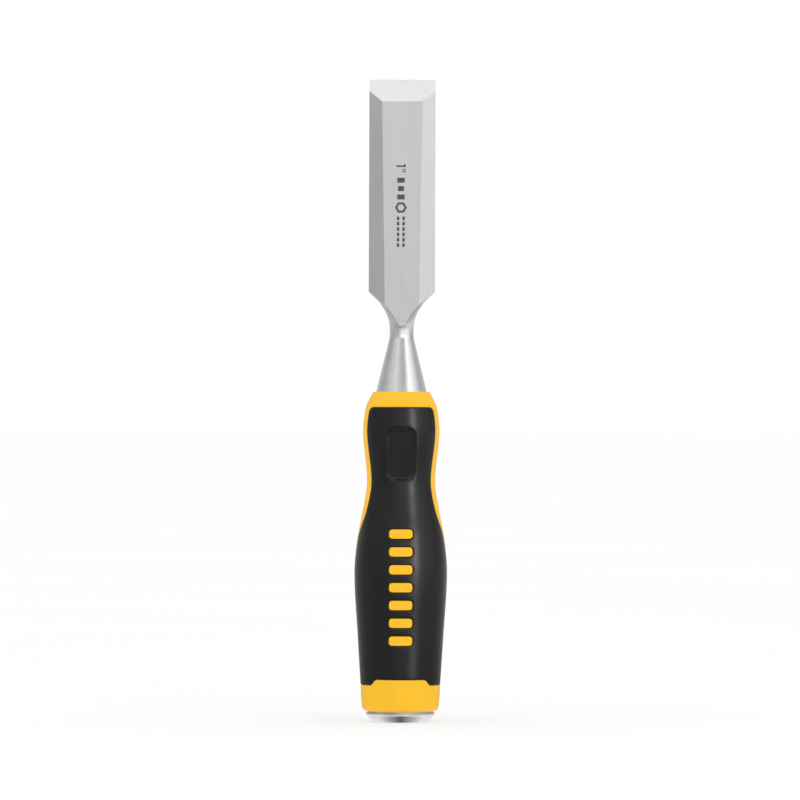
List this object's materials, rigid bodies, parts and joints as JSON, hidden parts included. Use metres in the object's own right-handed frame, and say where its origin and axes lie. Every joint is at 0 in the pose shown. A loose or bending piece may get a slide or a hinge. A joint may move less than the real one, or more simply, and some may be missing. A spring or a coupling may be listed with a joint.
{
  "type": "bench chisel",
  "caption": "Bevel-edged bench chisel with a forged blade, oval two-colour moulded handle, thumb rests, raised grip bars and a steel strike cap on the butt.",
  "frame": {"origin": "centre of the strike face, the flat bottom of the strike cap, on the handle's axis", "axes": "+Z from the strike face up the tool to the cutting edge; -Y the bevelled front of the blade, +Y its flat back; +X across the blade's width"},
  "size_m": [0.0356, 0.0316, 0.2463],
  "materials": {
    "blade_steel": "fine ground along the blade, polished on the neck and bolster cone",
    "core_plastic": "as moulded",
    "body_plastic": "satin moulded",
    "grip_rubber": "matte elastomer, fine textured",
    "cap_steel": "turned and polished",
    "pin_steel": "spring steel, oiled"
  },
  "bodies": {
    "root": {"blade": "blade_steel", "inner_core": "core_plastic", "handle_body": "body_plastic", "grip": "grip_rubber", "strike_cap": "cap_steel", "cap_pin": "pin_steel"}
  },
  "joints": []
}
